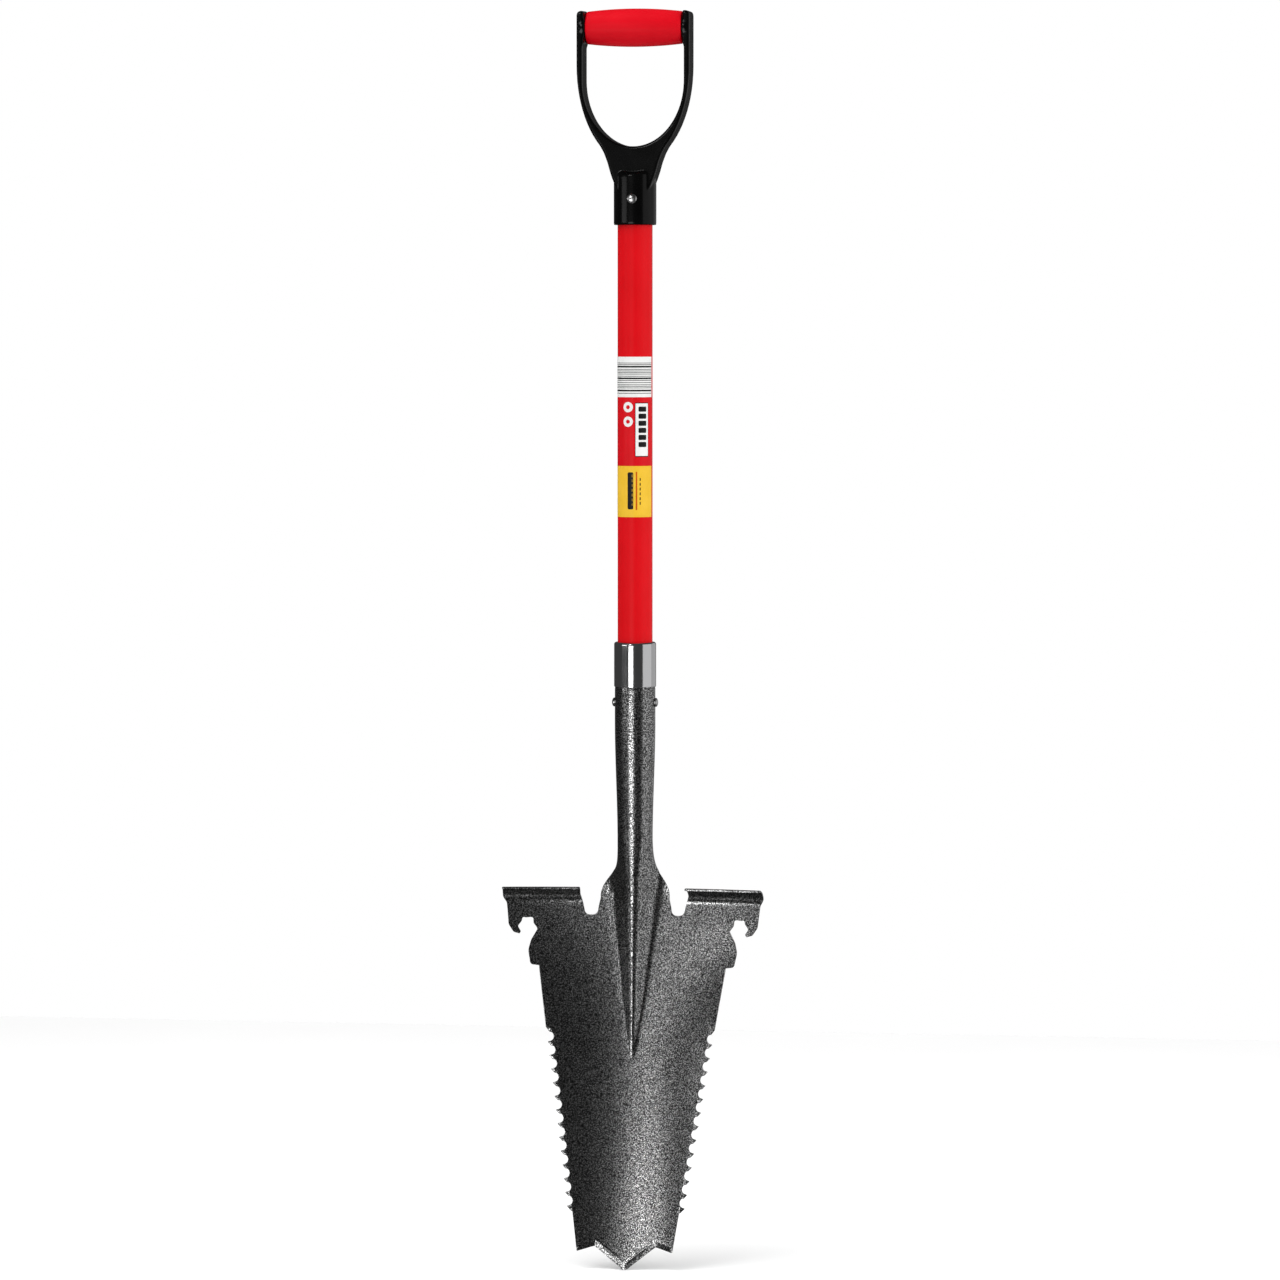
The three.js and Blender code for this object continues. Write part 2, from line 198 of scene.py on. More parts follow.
def finish_piece(obj, material, nodes, slot):
    obj.data.materials.clear()
    obj.data.materials.append(material)
    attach(obj, "root")
    if nodes:
        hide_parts(*nodes)
    return obj


def triangulated(border, points, guides):
    """The flat area inside the border, as points and anticlockwise triangles that follow the guides."""
    verts, edges = [], []
    for path, closed in [(border, True)] + [(guide, False) for guide in guides]:
        first = len(verts)
        verts += [Vector(p) for p in path.tolist()]
        count = len(path)
        edges += [(first + i, first + (i + 1) % count) for i in range(count if closed else count - 1)]
    points = points[inside(points, border)]
    points = points[distance(points, border, True) > CLEAR_OF_BORDER]
    for guide in guides:
        points = points[distance(points, guide) > CLEAR_OF_GUIDE]
    verts += [Vector(p) for p in points.tolist()]
    flat, _, faces, _, _, _ = delaunay_2d_cdt(verts, edges, [], 1, 1e-5)
    flat = np.array([tuple(v) for v in flat])
    faces = [tuple(f) for f in faces]
    twice_area = sum(
        flat[f[0], 0] * (flat[f[1], 1] - flat[f[2], 1])
        + flat[f[1], 0] * (flat[f[2], 1] - flat[f[0], 1])
        + flat[f[2], 0] * (flat[f[0], 1] - flat[f[1], 1])
        for f in faces
    )
    if twice_area < 0:
        faces = [tuple(reversed(f)) for f in faces]
    used = sorted({v for f in faces for v in f})
    place = {v: i for i, v in enumerate(used)}
    return flat[used], [tuple(place[v] for v in f) for f in faces]


def rims(faces):
    """The open borders of the faces, each as a loop of points in the faces' own turning."""
    sides = {(f[i], f[(i + 1) % len(f)]) for f in faces for i in range(len(f))}
    following = {a: b for a, b in sides if (b, a) not in sides}
    left = set(following)
    loops = []
    while left:
        loop = [min(left)]
        left.discard(loop[0])
        while following[loop[-1]] in left:
            loop.append(following[loop[-1]])
            left.discard(loop[-1])
        loops.append(loop)
    return loops


def cut_sheet(name, outline, points, guides, surface, chamfer):
    """A closed sheet cut to a flat outline and formed.

    surface(flat, side) gives the formed place of flat points on the front (side 1) or back (side -1), and for
    a side in between a place inside the thickness. chamfer is the width of the broken edge.
    """
    flat, faces = triangulated(outline - outward(outline) * chamfer, points, guides)
    n = len(flat)
    vertices = [surface(flat, 1.0), surface(flat, -1.0)]
    out = faces + [tuple(n + v for v in reversed(f)) for f in faces]
    shoulder = 1 - 2 * chamfer / SHEET if chamfer else FILM_SHOULDER
    total = 2 * n
    for loop in rims(faces):
        rim = flat[loop] + outward(flat[loop]) * chamfer
        vertices += [surface(rim, shoulder), surface(rim, -shoulder)]
        count = len(loop)
        for i in range(count):
            j = (i + 1) % count
            a, b = total + i, total + j
            c, d = a + count, b + count
            out += [(loop[j], loop[i], a, b), (b, a, c, d), (d, c, n + loop[i], n + loop[j])]
        total += 2 * count
    return new_object(name, np.concatenate(vertices), out)


def turned(name, profile, segments, sharp=35):
    """A closed profile of (radius, z) pairs turned about the shaft's axis."""
    angles = np.arange(segments) * 2 * math.pi / segments
    vertices, faces = [], []
    count = len(profile)
    for r, z in profile:
        for a in angles:
            vertices.append((r * math.sin(a), AXIS_Y - r * math.cos(a), z))
    for i in range(count):
        k = (i + 1) % count
        for s in range(segments):
            t = (s + 1) % segments
            faces.append((i * segments + s, i * segments + t, k * segments + t, k * segments + s))
    return new_object(name, vertices, faces, sharp)


def arc(centre, radius, start, end, count):
    """Points of an arc, angles in degrees."""
    turn = [math.radians(mix(start, end, i / count)) for i in range(count + 1)]
    return [(centre[0] + radius * math.cos(a), centre[1] + radius * math.sin(a)) for a in turn]


def move_vertices(obj, change):
    count = len(obj.data.vertices)
    co = np.zeros(count * 3, np.float32)
    obj.data.vertices.foreach_get("co", co)
    co = change(co.reshape(-1, 3).astype(float) / MM) * MM
    obj.data.vertices.foreach_set("co", co.astype(np.float32).ravel())
    obj.data.update()


# ---- materials ----

class Nodes:
    """Builds one material's node tree."""

    def __init__(self, name):
        self.material = bpy.data.materials.new(name)
        self.material.use_nodes = True
        self.tree = self.material.node_tree
        self.shader = self.tree.nodes["Principled BSDF"]
        self.where = self.add("ShaderNodeTexCoord").outputs["Object"]

    def add(self, kind, **values):
        node = self.tree.nodes.new(kind)
        for key, value in values.items():
            if hasattr(node, key):
                setattr(node, key, value)
            else:
                node.inputs[key.replace("_", " ")].default_value = value
        return node

    def link(self, source, target):
        self.tree.links.new(source, target)

    def set(self, **values):
        for key, value in values.items():
            self.shader.inputs[key.replace("_", " ")].default_value = value

    def noise(self, scale, detail=2.0, roughness=0.5, stretch=None):
        node = self.add("ShaderNodeTexNoise", Scale=scale, Detail=detail, Roughness=roughness)
        source = self.where
        if stretch:
            mapping = self.add("ShaderNodeMapping")
            mapping.inputs["Scale"].default_value = stretch
            self.link(source, mapping.inputs["Vector"])
            source = mapping.outputs["Vector"]
        self.link(source, node.inputs["Vector"])
        return node.outputs["Fac"]

    def ramp(self, source, *stops):
        node = self.add("ShaderNodeValToRGB")
        while len(node.color_ramp.elements) < len(stops):
            node.color_ramp.elements.new(0.5)
        for element, (at, colour) in zip(node.color_ramp.elements, stops):
            element.position = at
            element.color = (*colour, 1.0)
        self.link(source, node.inputs["Fac"])
        return node.outputs["Color"]

    def span(self, source, low, high):
        """A value between low and high that follows source from 0 to 1."""
        node = self.add("ShaderNodeMapRange")
        node.inputs["To Min"].default_value = low
        node.inputs["To Max"].default_value = high
        self.link(source, node.inputs["Value"])
        return node.outputs["Result"]

    def bump(self, height, strength, depth_mm):
        node = self.add("ShaderNodeBump", Strength=strength)
        node.inputs["Distance"].default_value = depth_mm * MM
        self.link(height, node.inputs["Height"])
        return node.outputs["Normal"]

    def colour(self, source):
        self.link(source, self.shader.inputs["Base Color"])

    def roughness(self, source):
        self.link(source, self.shader.inputs["Roughness"])

    def normal(self, source):
        self.link(source, self.shader.inputs["Normal"])


def grey(v):
    return (v, v, v)


def hammered_paint():
    m = Nodes("hammered_paint")
    m.set(Metallic=1.0)
    cells = m.noise(1150, 1.0, 0.5)
    fine = m.noise(2600, 1.0)
    m.colour(m.ramp(cells, (0.36, grey(0.02)), (0.50, grey(0.15)), (0.66, grey(0.80))))
    m.roughness(m.span(fine, 0.24, 0.31))
    m.normal(m.bump(cells, 0.5, 0.06))
    return m.material


def bright_steel():
    m = Nodes("bright_steel")
    m.set(Metallic=1.0, Base_Color=(0.72, 0.72, 0.73, 1))
    brushed = m.noise(900, 2.0, 0.6, (1.0, 1.0, 0.06))
    smear = m.noise(60, 2.0)
    m.roughness(m.span(smear, 0.07, 0.16))
    m.normal(m.bump(brushed, 0.25, 0.02))
    return m.material


def rivet_steel():
    m = Nodes("rivet_steel")
    m.set(Metallic=1.0)
    spots = m.noise(700, 3.0, 0.6)
    m.colour(m.ramp(spots, (0.3, grey(0.42)), (0.7, grey(0.72))))
    m.roughness(m.span(spots, 0.18, 0.34))
    m.normal(m.bump(spots, 0.4, 0.06))
    return m.material


def red_coating():
    m = Nodes("red_coating")
    cloud = m.noise(35, 2.0)
    fibres = m.noise(420, 3.0, 0.6, (1.0, 1.0, 0.03))
    m.colour(m.ramp(cloud, (0.3, (0.52, 0.0, 0.003)), (0.7, (0.56, 0.0, 0.004))))
    m.set(Specular_IOR_Level=0.1)
    m.roughness(m.span(cloud, 0.30, 0.40))
    m.normal(m.bump(fibres, 0.35, 0.05))
    return m.material


def red_grip():
    m = Nodes("red_grip")
    grain = m.noise(1400, 2.0, 0.6)
    cloud = m.noise(40, 2.0)
    m.colour(m.ramp(cloud, (0.3, (0.50, 0.0, 0.006)), (0.7, (0.54, 0.001, 0.008))))
    m.set(Specular_IOR_Level=0.08)
    m.roughness(m.span(grain, 0.34, 0.46))
    m.normal(m.bump(grain, 0.25, 0.04))
    return m.material


def black_plastic():
    m = Nodes("black_plastic")
    grain = m.noise(1100, 2.0, 0.55)
    cloud = m.noise(60, 3.0)
    m.colour(m.ramp(cloud, (0.3, grey(0.0008)), (0.7, grey(0.0014))))
    m.set(Specular_IOR_Level=0.22)
    m.roughness(m.span(cloud, 0.15, 0.22))
    m.normal(m.bump(grain, 0.06, 0.01))
    return m.material


def core_wood():
    m = Nodes("core_wood")
    grain = m.noise(160, 4.0, 0.6, (1.0, 1.0, 0.08))
    m.colour(m.ramp(grain, (0.3, (0.36, 0.20, 0.09)), (0.7, (0.58, 0.38, 0.19))))
    m.roughness(m.span(grain, 0.55, 0.75))
    m.normal(m.bump(grain, 0.3, 0.1))
    return m.material


def printed(name, low, high):
    """Printed film: two close tones of one colour, with a faint film texture."""
    m = Nodes(name)
    cloud = m.noise(90, 3.0)
    film = m.noise(700, 2.0)
    m.colour(m.ramp(cloud, (0.3, low), (0.7, high)))
    m.set(Specular_IOR_Level=0.15)
    m.roughness(m.span(cloud, 0.28, 0.38))
    m.normal(m.bump(film, 0.15, 0.02))
    return m.material


# ---- blade ----

def socket_radius(z):
    outer = mix(NECK_R, SOCKET_R, smooth((z - SOCKET_NECK) / (SOCKET_FULL - SOCKET_NECK)))
    return np.where(z > FERRULE_LOW[2] - 1, SWAGED_R, outer) - SHEET / 2


def face_depth(x, z):
    """How far the middle of the sheet stands in front of the shaft's axis on the open part of the blade."""
    drop = np.maximum(RIDGE_TOP - z, 0)
    dished = mix(1.0, TOP_DISH, smooth((z - FLATTER_FROM) / FLATTER_OVER))
    face = FACE_SLOPE * (RIDGE_TOP - z) + FACE_CURVE * drop * drop + x * x / (2 * DISH_R) * dished
    crest = CREST_DEPTH + CREST_SLOPE * drop
    across = np.minimum(np.abs(x) / np.interp(z, RIDGE_HEIGHTS, RIDGE_WIDTHS), 1)
    bell = ((1 + np.cos(math.pi * across)) / 2) ** RIDGE_POWER
    return face + np.maximum(crest - face, 0) * bell * (z > RIDGE_END)


def sheet_middle(flat):
    """The formed place of points of the flat blank, as x, depth and z."""
    p, w = flat[:, 0], flat[:, 1]
    base = np.minimum(w, BEND_START)
    up = np.maximum(w - BEND_START, 0)
    turn = np.minimum(up, QUARTER) / TREAD_BEND
    forward = TREAD_BEND * (1 - np.cos(turn)) + np.maximum(up - QUARTER, 0)
    tread = np.stack((p, face_depth(p, base) + forward, base + TREAD_BEND * np.sin(turn)), 1)
    roll = smooth((w - ROLL_FROM) / ROLL_OVER)[:, None]
    r = socket_radius(w)
    angle = p / NECK_WIDTH * (math.pi - SEAM / r)
    opened = np.stack((p, face_depth(p, w), w), 1)
    rolled = np.stack((r * np.sin(angle), r * np.cos(angle), w), 1)
    neck = opened * (1 - roll) + rolled * roll
    return np.where((np.abs(p) > SLOT_MIDDLE)[:, None], tread, neck)


def ground_away(flat):
    """How much the sharpened front bevels take off the sheet's thickness."""
    bottom = bottom_edge()
    near = distance(flat, bottom)
    share = np.clip(1 - near / GROUND, 0, 1) * (flat[:, 1] < BOTTOM_GROUND_TO)
    x, z = np.abs(flat[:, 0]), flat[:, 1]
    slope = (FIRST_TOOTH[0] - LAST_TOOTH[0]) / (FIRST_TOOTH[1] - LAST_TOOTH[1])
    tips = LAST_TOOTH[0] + (z - LAST_TOOTH[1]) * slope
    beyond = np.clip((x - (tips - GROUND)) / GROUND, 0, 1)
    toothed = beyond * (z > SIDE_GROUND_FROM) * (z < SIDE_GROUND_TO)
    return GROUND_DEPTH * np.maximum(share, toothed)


def blade_surface(flat, side):
    """Points of the blank on the front (side 1) or back (side -1) of the formed sheet."""
    step = 0.05
    middle = sheet_middle(flat)
    across = sheet_middle(flat + (step, 0)) - sheet_middle(flat - (step, 0))
    along = sheet_middle(flat + (0, step)) - sheet_middle(flat - (0, step))
    along[flat[:, 1] > SOCKET_FULL] = (0, 0, 1)
    normal = -np.cross(across, along)
    normal /= np.linalg.norm(normal, axis=1, keepdims=True)
    front, back = SHEET / 2 - ground_away(flat), -SHEET / 2
    height = back + (front - back) * (side + 1) / 2
    at = middle + normal * height[:, None]
    return np.stack((at[:, 0], AXIS_Y - at[:, 1], at[:, 2]), 1)


def tooth(x, z):
    """One tooth and the gullet under it, from the tip down: flank, ledge, then a hollow to the next tip."""
    hollow = ((-6.0, -5.2), (-6.5, -7.2), (-6.1, -9.0), (-5.0, -10.3), (-3.4, -10.9))
    gullet = [(x + across, z + up, 0.0) for across, up in hollow]
    return [(x, z, 0.4), (x - 2.9, z - 3.2, 0.3), (x - 5.0, z - 3.8, 0.6), *gullet]


def bottom_edge():
    """The sharpened bottom edge, corner to corner through the point."""
    right = [(0, 0), (25.7, 19.5), (40.2, 15.3)]
    return np.array([(-x, z) for x, z in right[:0:-1]] + right, float)


def toothed_side():
    """The right side from the foot of the last tooth up to the shoulder over the first."""
    row = [(LAST_TOOTH[0] - 3.9, LAST_TOOTH[1] - 4.0, 0.5), (*LAST_TOOTH, 0.4)]
    for i in range(TEETH - 2, -2, -1):
        t = i / (TEETH - 1)
        row += reversed(tooth(mix(FIRST_TOOTH[0], LAST_TOOTH[0], t), mix(FIRST_TOOTH[1], LAST_TOOTH[1], t)))
    row[-1] = (71.4, 199.0, 0.8)
    return row


def blade_outline():
    """The flat blank as (x, z, corner radius), from the point up the right side and down the left."""
    point = [(1.6, 0.5, 0.8), (25.7, 19.5, 0.8), (40.2, 15.3, 0.8), (45.0, 47.8, 1.0)]
    bulge = [(78.8, 246.8, 1.2), (79.0, 249.6, 0.8), (86.2, 250.6, 3.0), (88.6, 262.5, 9.0)]
    bulge += [(86.6, 270.6, 7.0), (81.4, 279.8, 2.0), (85.0, 284.5, 1.5)]
    hook = [(85.4, 289.0, 1.6), (87.6, 289.4, 0.8), (91.4, 289.0, 0.8), (94.2, 289.6, 1.4)]
    hook += [(94.9, 286.2, 1.5), (98.0, 282.0, 2.0), (95.3, 277.6, 0.5), (96.3, 275.8, 0.6)]
    hook += [(101.2, 277.2, 3.0), (105.6, 283.6, 5.0), (106.9, 296.0, 8.0), (107.6, 301.6, 4.0)]
    end = BEND_START + QUARTER + TREAD_FLAT
    tread = [(TREAD_OUT - 0.3, 307.0, 6.0), (TREAD_OUT - 0.7, 313.0, 4.0), (TREAD_OUT - 2.4, end, 1.6)]
    tread.append((44.6, end, 0.8))
    slot = [(46.0, 309, 3.0), (43.6, 300, 6.0), (41.8, 291.6, 4.6), (31.8, 291.6, 4.4), (30.6, 299.6, 5.0)]
    slot.append((29.2, 305.6, 3.0))
    neck = [(NECK_WIDTH, 316, 3.0), (NECK_WIDTH, BLADE_HIGH[2], 0)]
    right = point + toothed_side() + bulge + hook + tread + slot + neck
    left = [(-x, z, r) for x, z, r in reversed(right)]
    return rounded(right + left)


def blank_points():
    """Points inside the blank: even over the blade, closer together across the rolled socket."""
    rows = enumerate(np.arange(0.5, FACE_TO, FACE_ROWS))
    low = [(x + (row % 2), z) for row, z in rows for x in np.arange(-112, 112, FACE_COLUMNS)]
    across = np.arange(1.25 - NECK_WIDTH, NECK_WIDTH - 0.1, SOCKET_COLUMNS)
    high = [(x, z) for z in np.arange(FACE_TO + 1, BLADE_HIGH[2], SOCKET_ROWS) for x in across]
    return np.array(low + high)


def ground_lines():
    """Where the sharpened bands begin, as lines in the mesh so that they stay crisp."""
    bottom = bottom_edge()
    edge = np.diff(bottom, axis=0)
    edge /= np.linalg.norm(edge, axis=1, keepdims=True)
    normal = np.stack((-edge[:, 1], edge[:, 0]), 1)
    inner = [bottom[0] + normal[0] * GROUND + edge[0] * 0.9]
    for i in range(1, len(bottom) - 1):
        both = normal[i - 1] + normal[i]
        inner.append(bottom[i] + both * GROUND / (1 + normal[i - 1] @ normal[i]))
    inner.append(bottom[-1] + normal[-1] * GROUND - edge[-1] * 0.9)
    return [np.array(inner)]


def blade():
    outline = blade_outline()
    edge = split(outline, EDGE_SPACING)
    piece = cut_sheet("blade_sheet", edge, blank_points(), ground_lines(), blade_surface, CHAMFER)
    return finish_piece(piece, hammered_paint(), ["blade"], "hammered_paint")


# ---- shaft, ferrule, rivets ----

PIN_R = 3.0
SOCKET_HEAD_R, HANDLE_HEAD_R = 3.75, 4.25
HEAD_GAP = 0.1  # from the wall to the underside of a rivet's head


def shaft():
    low, high = SHAFT_LOW[2], SHAFT_HIGH[2]
    edge = 0.5
    profile = [(SHAFT_BORE, low), (SHAFT_R - edge, low), (SHAFT_R, low + edge)]
    profile += [(SHAFT_R, high - edge), (SHAFT_R - edge, high), (SHAFT_BORE, high)]
    return finish_piece(turned("shaft_tube", profile, 96), red_coating(), ["shaft"], "red_coating")


def ferrule():
    low, high = FERRULE_LOW[2], FERRULE_HIGH[2]
    foot = (FERRULE_HIGH[0] - FERRULE_LOW[0]) / 2
    lip = SHAFT_R + 0.1
    inner = SWAGED_R + 0.2
    edge, crown = 0.3, 2.0
    base = low + 0.05
    profile = [(inner, base), (foot - edge, base), (foot, base + edge), (foot, low + 1.2), (foot, high - 3.0)]
    profile += arc((foot - crown, high - crown), crown, 0, 90, 8)
    profile += [(lip + 0.5, high), (lip, high - 0.4), (lip, high - 1.2)]
    profile += [(inner - 1.5, high - 1.4), (inner, high - 3)]
    return finish_piece(turned("ferrule_collar", profile, 96), bright_steel(), ["ferrule"], "bright_steel")


def rivet(name, low, high, axis, head_r, grip, node):
    """A pin with a domed head at each end.

    axis is 0 along X or 1 along Y, and grip is half the length between the heads.
    """
    half = (high[axis] - low[axis]) / 2
    rise = half - grip
    dome, steps = 0.75, 8
    profile = []
    for i in range(steps + 1):
        a = math.radians(i * 90 / steps)
        profile.append((max(head_r * math.sin(a), 0.001), grip + rise * (1 - dome + dome * math.cos(a))))
    profile += [(head_r, grip + 0.05), (head_r - 0.4, grip), (PIN_R, grip)]
    profile += [(r, -z) for r, z in reversed(profile)]
    piece = turned(name, profile, 40, 40)
    middle = [(a + b) / 2 for a, b in zip(low, high)]

    def lay(co):
        side, back, along = co[:, 0], co[:, 1] - AXIS_Y, co[:, 2]
        if axis == 0:
            return np.stack((middle[0] + along, middle[1] + side, middle[2] + back), 1)
        return np.stack((middle[0] + back, middle[1] + along, middle[2] + side), 1)

    move_vertices(piece, lay)
    return finish_piece(piece, rivet_steel(), [node], "rivet_steel")


def cores():
    """The two plugs keep their CAD meshes and take a wood material."""
    wood = core_wood()
    for core in ("lower_core", "upper_core"):
        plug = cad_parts[core]
        plug.data.materials.clear()
        plug.data.materials.append(wood)


# ---- D handle ----

HAND_BOTTOM = 935.3
HAND_MIDDLE = 990.0  # where the opening's sides turn into its half-ellipse
ARM_IN = 42.7
ARM_CENTRE, ARM_DROP = 1002.0, 81.6  # middle and height of the quarter-ellipse outside each arm
ARM_FROM, ARM_STEP = -54, 4.5  # degrees on that ellipse, and between its points
SHOULDER_FROM, SHOULDER_FULL, SHOULDER_THICKER = 1018.0, 1021.5, 1.2  # the arm thickens beside the grip
SHOULDER_R = 13.7
YOKE_DEPTH = 26.0
YOKE_R = 17.8
TUBE_TO, TUBE_TIP_R, TUBE_TIP = 912.0, 12.0, 924.0  # the tube's full radius ends, then it runs into the web
VOXEL = 0.6
CROSSBAR_R = 7.0
BORE_GAP, BORE_OVER = 0.1, 0.4  # round the shaft and above its top
GRIP_GAP = 0.25  # between the grip's ends and the shoulders


def prism(name, outline, depth):
    """A front outline pushed through from front to back, centred on the shaft's axis."""
    bm = bmesh.new()
    front = [bm.verts.new((x * MM, (AXIS_Y - depth / 2) * MM, z * MM)) for x, z in outline]
    back = [bm.verts.new((x * MM, (AXIS_Y + depth / 2) * MM, z * MM)) for x, z in outline]
    bm.faces.new(front)
    bm.faces.new(back[::-1])
    count = len(outline)
    for i in range(count):
        j = (i + 1) % count
        bm.faces.new((front[j], front[i], back[i], back[j]))
    bmesh.ops.recalc_face_normals(bm, faces=bm.faces)
    mesh = bpy.data.meshes.new(name)
    bm.to_mesh(mesh)
    bm.free()
    obj = bpy.data.objects.new(name, mesh)
    bpy.context.scene.collection.objects.link(obj)
    return obj


def apply_modifiers(obj):
    bpy.context.view_layer.update()
    evaluated = obj.evaluated_get(bpy.context.evaluated_depsgraph_get())
    mesh = bpy.data.meshes.new_from_object(evaluated)
    obj.modifiers.clear()
    obj.data = mesh


def boolean(obj, other, operation):
    modifier = obj.modifiers.new("cut", "BOOLEAN")
    modifier.object = other
    modifier.operation = operation
    modifier.solver = "EXACT"
    apply_modifiers(obj)
    bpy.data.objects.remove(other)


def along_x(name, radius, start, end, z):
    piece = turned(name, [(0.001, start), (radius, start), (radius, end), (0.001, end)], 64)
    move_vertices(piece, lambda co: np.stack((co[:, 2], co[:, 0] + AXIS_Y, z + co[:, 1] - AXIS_Y), 1))
    return piece


def yoke_outline():
    """Right half of the D from the socket up round the arm and back down the hand opening."""
    out, top = YOKE_HIGH[0], YOKE_HIGH[2]
    web = [(8.0, 890), (12.5, 897), (15.6, 903.5), (17.9, 909.5), (19.5, 914.5), (21.6, 922), (24.6, 930)]
    turns = np.radians(np.arange(ARM_FROM, 1, ARM_STEP))
    arm = [(out * math.cos(a), ARM_CENTRE + ARM_DROP * math.sin(a)) for a in turns]
    shoulder_in = ARM_IN - SHOULDER_THICKER
    end = [(out, top - 3), (out - 0.9, top - 0.9), (out - 3, top), (shoulder_in, top)]
    end += [(shoulder_in, SHOULDER_FULL), (ARM_IN, SHOULDER_FROM)]
    depth = HAND_MIDDLE - HAND_BOTTOM
    turns = np.radians(np.arange(0, 90, ARM_STEP))
    opening = [(ARM_IN * math.cos(a), HAND_MIDDLE - depth * math.sin(a)) for a in turns]
    return web + arm + end + opening + [(0, HAND_BOTTOM)]


def yoke_tube():
    """The handle's socket, closed at its top and cut off below the hand opening."""
    profile = [(0.001, YOKE_LOW[2]), (YOKE_R, YOKE_LOW[2]), (YOKE_R, TUBE_TO), (TUBE_TIP_R, TUBE_TIP)]
    tube = turned("tube", profile + [(0.001, TUBE_TIP)], 96)
    half, drop, side = 60, 77, 1010
    turns = np.radians(np.arange(180, 361, 3))
    hollow = [(half * math.cos(a), HAND_MIDDLE + drop * math.sin(a)) for a in turns]
    boolean(tube, prism("hollow", hollow + [(half, side), (-half, side)], 60), "DIFFERENCE")
    return tube


def yoke():
    right = yoke_outline()
    left = [(-x, z) for x, z in reversed(right[:-1])]
    body = prism("handle_frame", right + left, YOKE_DEPTH)
    boolean(body, yoke_tube(), "UNION")
    grip_z = (GRIP_LOW[2] + GRIP_HIGH[2]) / 2
    inner, outer = GRIP_HIGH[0] + GRIP_GAP, ARM_IN + 2
    for name, start, end in (("left", -outer, -inner), ("right", inner, outer)):
        boolean(body, along_x(name, SHOULDER_R, start, end, grip_z), "UNION")
    remesh = body.modifiers.new("remesh", "REMESH")
    remesh.mode = "VOXEL"
    remesh.voxel_size = VOXEL * MM
    even = body.modifiers.new("smooth", "SMOOTH")
    even.factor = 0.5
    even.iterations = 24
    apply_modifiers(body)
    boolean(body, along_x("bar", CROSSBAR_R, -ARM_IN - 1, ARM_IN + 1, grip_z), "UNION")
    low, high, bore_r = YOKE_LOW[2] - 5, SHAFT_HIGH[2] + BORE_OVER, SHAFT_R + BORE_GAP
    bore = turned("bore", [(0.001, low), (bore_r, low), (bore_r, high), (0.001, high)], 96)
    boolean(body, bore, "DIFFERENCE")
    body.data.shade_smooth()
    body.data.set_sharp_from_angle(angle=math.radians(50))
    return finish_piece(body, black_plastic(), ["handle_yoke"], "black_plastic")


def grip():
    half = GRIP_HIGH[0]
    full = (GRIP_HIGH[2] - GRIP_LOW[2]) / 2
    end = 13.5
    edge = 1.0
    bore = CROSSBAR_R + 0.2
    corner = [(end - edge + edge * math.sin(a), edge * (1 - math.cos(a))) for a in np.radians((25, 50, 75))]
    profile = [(bore, -half), (end - edge, -half)] + [(r, -half + x) for r, x in corner]
    for x in np.linspace(-half + edge, half - edge, 25):
        profile.append((mix(full, end, (x / half) ** 2), x))
    profile += [(r, half - x) for r, x in reversed(corner)] + [(end - edge, half), (bore, half)]
    piece = turned("grip_barrel", profile, 72)
    middle = (GRIP_LOW[2] + GRIP_HIGH[2]) / 2
    move_vertices(piece, lambda co: np.stack((co[:, 2], co[:, 0] + AXIS_Y, middle + co[:, 1] - AXIS_Y), 1))
    return finish_piece(piece, red_grip(), ["grip_sleeve"], "red_grip")


# ---- label ----

LABEL_FROM, LABEL_TO = -127.0, 77.0  # degrees from the front, towards +X
LABEL_R = SHAFT_R + 0.02
FILM, INK_FILM = 0.1, 0.035
FILM_SPACING = 0.8  # mesh spacing round the shaft, so that the film follows its curve
OVER_FILM = LABEL_R + FILM
DISCS = (718.3, 706.2)
DISC_R, DOT_R = 4.3, 1.7
PLATE_LOW, PLATE_HIGH = 677.6, 721.4
BLOCKS, BLOCKS_FROM, BLOCK_HIGH, BLOCK_STEP = 6, 685.0, 4.3, 5.9
MARK_LOW, MARK_HIGH = 633.0, 664.0
DOTS, DOTS_FROM, DOT_HIGH, DOT_STEP = 6, 636.8, 2.4, 4.0


def round_shaft(radius, thick):
    """A surface() for cut_sheet that lays (arc length, z) on the shaft."""
    def surface(flat, side):
        a = flat[:, 0] / SHAFT_R
        r = radius + thick * (side + 1) / 2
        return np.stack((r * np.sin(a), AXIS_Y - r * np.cos(a), flat[:, 1]), 1)
    return surface


def around(degrees):
    return math.radians(degrees) * SHAFT_R


def film(name, outline, radius, thick, material, nodes, slot):
    outline = split(outline, FILM_SPACING)
    low, high = outline.min(0), outline.max(0)
    across = np.arange(low[0] + 0.3, high[0], FILM_SPACING)
    grid = np.array([(x, z) for z in np.arange(low[1] + 2, high[1], 4.0) for x in across]).reshape(-1, 2)
    piece = cut_sheet(name, outline, grid, [], round_shaft(radius, thick), 0.0)
    return finish_piece(piece, material, nodes, slot)


def ink(name, outline, layer, material, slot):
    """A printed shape on the film, with layer other inks under it."""
    film(name, outline, OVER_FILM + layer * INK_FILM, INK_FILM, material, [], slot)


def plate(a0, a1, z0, z1, r):
    """A rounded rectangle between two angles and two heights."""
    x0, x1 = around(a0), around(a1)
    return rounded([(x0, z0, r), (x1, z0, r), (x1, z1, r), (x0, z1, r)])


